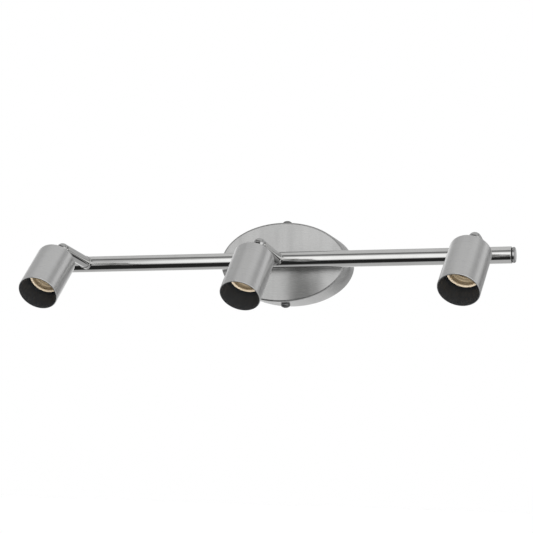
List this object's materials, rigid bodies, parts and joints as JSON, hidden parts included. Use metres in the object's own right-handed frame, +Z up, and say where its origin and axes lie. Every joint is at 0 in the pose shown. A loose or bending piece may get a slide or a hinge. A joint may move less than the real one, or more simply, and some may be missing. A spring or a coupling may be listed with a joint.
{
  "type": "track lighting fixture",
  "caption": "Spotlight bar for a wall or ceiling: an oval canopy carries a round bar, and arms on it hold cylindrical lamp heads that swivel and tilt.",
  "frame": {"origin": "centre of the canopy's back, in the plane that meets the wall or ceiling", "axes": "+X along the bar, +Y into the wall, +Z up when it hangs on a wall; all of the fixture lies on the -Y side"},
  "size_m": [0.601, 0.2315, 0.1356],
  "materials": {
    "satin_nickel": "brushed satin nickel, fine grain, black paint inside the shades",
    "polished_nickel": "bright nickel plate, near mirror",
    "zinc_steel": "zinc plated steel, dull",
    "brass": "dull drawn brass",
    "porcelain": "cream porcelain",
    "green_screw": "green dyed steel",
    "black_rubber": "matte black"
  },
  "bodies": {
    "base": {"canopy": "satin_nickel", "mounting_bracket": "zinc_steel", "center_nipple": "zinc_steel", "center_nut": "zinc_steel", "ground_screw": "green_screw", "canopy_screw_top": "polished_nickel", "canopy_screw_bottom": "polished_nickel", "bar_spacer": "polished_nickel", "bar_tube": "polished_nickel", "end_cap_left": "polished_nickel", "end_cap_right": "polished_nickel", "stem_collar_left": "polished_nickel", "swivel_bolt_left": "zinc_steel", "swivel_nut_left": "zinc_steel", "stem_collar_middle": "polished_nickel", "swivel_bolt_middle": "zinc_steel", "swivel_nut_middle": "zinc_steel", "stem_collar_right": "polished_nickel", "swivel_bolt_right": "zinc_steel", "swivel_nut_right": "zinc_steel"},
    "arm_left": {"stem_left": "polished_nickel", "pivot_screw_left": "polished_nickel"},
    "arm_middle": {"stem_middle": "polished_nickel", "pivot_screw_middle": "polished_nickel"},
    "arm_right": {"stem_right": "polished_nickel", "pivot_screw_right": "polished_nickel"},
    "head_left": {"knuckle_left": "satin_nickel", "shell_left": "satin_nickel", "wire_grommet_left": "black_rubber", "knuckle_nut_left": "zinc_steel", "socket_bracket_left": "zinc_steel", "socket_body_left": "porcelain", "screw_shell_left": "brass", "center_contact_left": "brass"},
    "head_middle": {"knuckle_middle": "satin_nickel", "shell_middle": "satin_nickel", "wire_grommet_middle": "black_rubber", "knuckle_nut_middle": "zinc_steel", "socket_bracket_middle": "zinc_steel", "socket_body_middle": "porcelain", "screw_shell_middle": "brass", "center_contact_middle": "brass"},
    "head_right": {"knuckle_right": "satin_nickel", "shell_right": "satin_nickel", "wire_grommet_right": "black_rubber", "knuckle_nut_right": "zinc_steel", "socket_bracket_right": "zinc_steel", "socket_body_right": "porcelain", "screw_shell_right": "brass", "center_contact_right": "brass"}
  },
  "joints": [
    {"name": "swivel_left", "type": "hinge", "parent": "base", "child": "arm_left", "pos_m": [-0.264, -0.065, 0], "axis": [0, -0.9962, 0.0872], "range_deg": [-170, 170]},
    {"name": "tilt_left", "type": "hinge", "parent": "arm_left", "child": "head_left", "pos_m": [-0.264, -0.14639, 0.00712], "axis": [0.9998, -0.0015, -0.0174], "range_deg": [-21.5, 38.5]},
    {"name": "swivel_middle", "type": "hinge", "parent": "base", "child": "arm_middle", "pos_m": [0, -0.065, 0], "axis": [0, -0.9962, 0.0872], "range_deg": [-170, 170]},
    {"name": "tilt_middle", "type": "hinge", "parent": "arm_middle", "child": "head_middle", "pos_m": [0, -0.14639, 0.00712], "axis": [0.9976, -0.0061, -0.0695], "range_deg": [-28, 32]},
    {"name": "swivel_right", "type": "hinge", "parent": "base", "child": "arm_right", "pos_m": [0.264, -0.065, 0], "axis": [0, -0.9962, 0.0872], "range_deg": [-170, 170]},
    {"name": "tilt_right", "type": "hinge", "parent": "arm_right", "child": "head_right", "pos_m": [0.264, -0.14639, 0.00712], "axis": [0.9925, -0.0106, -0.1214], "range_deg": [-25.5, 34.5]}
  ]
}
